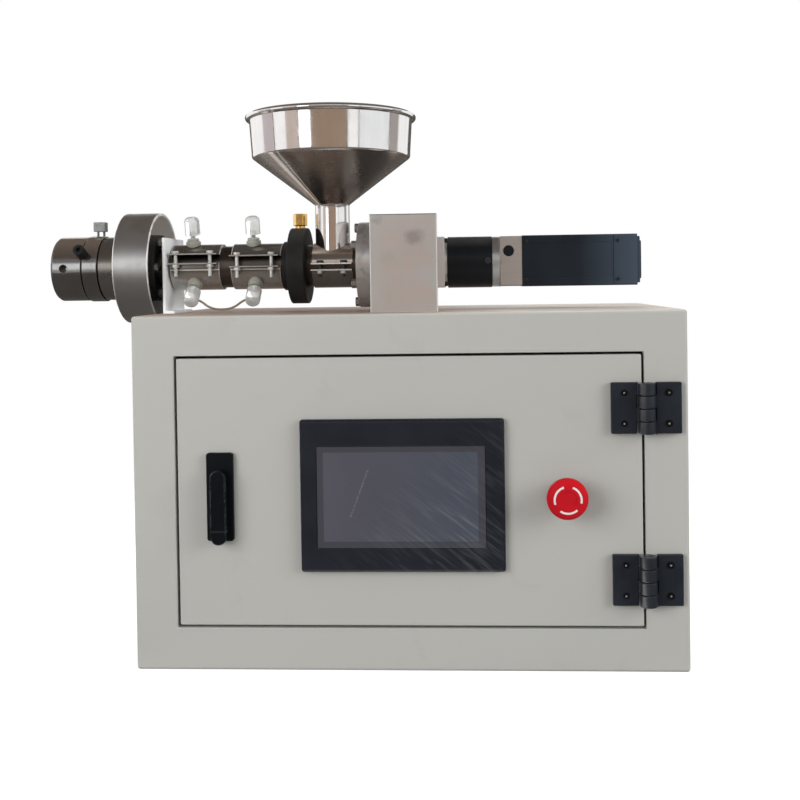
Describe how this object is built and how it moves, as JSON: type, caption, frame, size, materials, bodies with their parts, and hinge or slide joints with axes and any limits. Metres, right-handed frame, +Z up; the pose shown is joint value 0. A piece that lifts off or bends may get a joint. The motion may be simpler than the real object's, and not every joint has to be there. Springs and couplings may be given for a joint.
{
  "type": "laboratory extruder",
  "caption": "Bench extruder on a sheet cabinet with a hinged control door, feed hopper, heated barrel, die head, bearing block, reducer and motor.",
  "frame": {"origin": "middle of the flat underside of the cabinet", "axes": "+X to the right along the extruder axis, the die towards -X, the door front towards -Y, +Z up"},
  "size_m": [0.6658, 0.3305, 0.569],
  "materials": {
    "cabinet_paint": "light grey powder coat, satin",
    "hinge_black": "black stove enamel",
    "handle_black": "satin black",
    "panel_black": "blue-black, under clear film",
    "screen_grey": "unlit display under clear film",
    "stop_red": "signal red",
    "stop_grey": "dark grey",
    "bare_aluminium": "bare, fine brushed",
    "barrel_steel": "dark oiled steel",
    "heater_steel": "heat-tinted polished steel",
    "bolt_steel": "zinc plated",
    "porcelain": "glazed porcelain",
    "clear_silicone": "milky silicone",
    "lead_brown": "brown sleeved lead",
    "black_steel": "blackened steel",
    "brass": "turned brass",
    "hopper_steel": "polished stainless steel",
    "saddle_steel": "stainless sheet",
    "flange_steel": "turned steel",
    "reducer_black": "black anodised",
    "motor_navy": "blue-black, satin",
    "die_steel": "turned steel, heat-tinted",
    "drum_steel": "rolled steel",
    "ceramic_grey": "grey ceramic"
  },
  "bodies": {
    "base": {"cabinet_top": "cabinet_paint", "cabinet_bottom": "cabinet_paint", "cabinet_side_walls": "cabinet_paint", "cabinet_back_wall": "cabinet_paint", "frame_rails": "cabinet_paint", "frame_stiles": "cabinet_paint", "frame_hinge_leaves": "hinge_black", "hinge_pins": "hinge_black", "barrel_support": "bare_aluminium", "barrel": "barrel_steel", "heater_bands": "heater_steel", "clamp_bolts": "bolt_steel", "terminal_beads": "porcelain", "terminal_pins": "bolt_steel", "terminal_caps": "clear_silicone", "jumper_lead": "lead_brown", "barrel_collar": "black_steel", "cooling_ring": "black_steel", "brass_fitting": "brass", "hopper_saddle": "saddle_steel", "hopper_clamp": "saddle_steel", "hopper_wall": "hopper_steel", "hopper_cone": "hopper_steel", "hopper_neck": "hopper_steel", "block_flange": "flange_steel", "flange_bolts": "flange_steel", "bearing_block": "bare_aluminium", "reducer_flange": "bare_aluminium", "flange_screws": "black_steel", "reducer_body": "reducer_black", "motor_adapter": "bare_aluminium", "adapter_plug": "reducer_black", "motor_body": "motor_navy", "motor_cover": "motor_navy", "die_body": "die_steel", "die_ring": "die_steel", "die_heater": "heater_steel", "die_screw": "black_steel", "die_connector": "ceramic_grey", "drum_shroud": "drum_steel", "drum_flange": "black_steel"},
    "door": {"door_panel": "cabinet_paint", "door_hinge_leaves": "hinge_black", "panel_bezel": "panel_black", "panel_screen": "screen_grey", "stop_collar": "stop_grey", "handle_plate": "handle_black"},
    "handle": {"handle_lever": "handle_black"},
    "stop_stem": {"stop_stem": "stop_grey"},
    "stop_head": {"stop_head": "stop_red"}
  },
  "joints": [
    {"name": "door_swing", "type": "hinge", "parent": "base", "child": "door", "pos_m": [0.2337, -0.1585, 0.1785], "axis": [0, 0, 1], "range_deg": [0, 170]},
    {"name": "handle_turn", "type": "hinge", "parent": "door", "child": "handle", "pos_m": [-0.1865, -0.155, 0.1945], "axis": [0, -1, 0], "range_deg": [0, 90]},
    {"name": "stop_press", "type": "slide", "parent": "door", "child": "stop_stem", "axis": [0, 1, 0], "range_m": [0, 0.004]},
    {"name": "stop_twist", "type": "hinge", "parent": "stop_stem", "child": "stop_head", "pos_m": [0.155, -0.17, 0.1755], "axis": [0, 1, 0], "range_deg": [0, 45]}
  ]
}
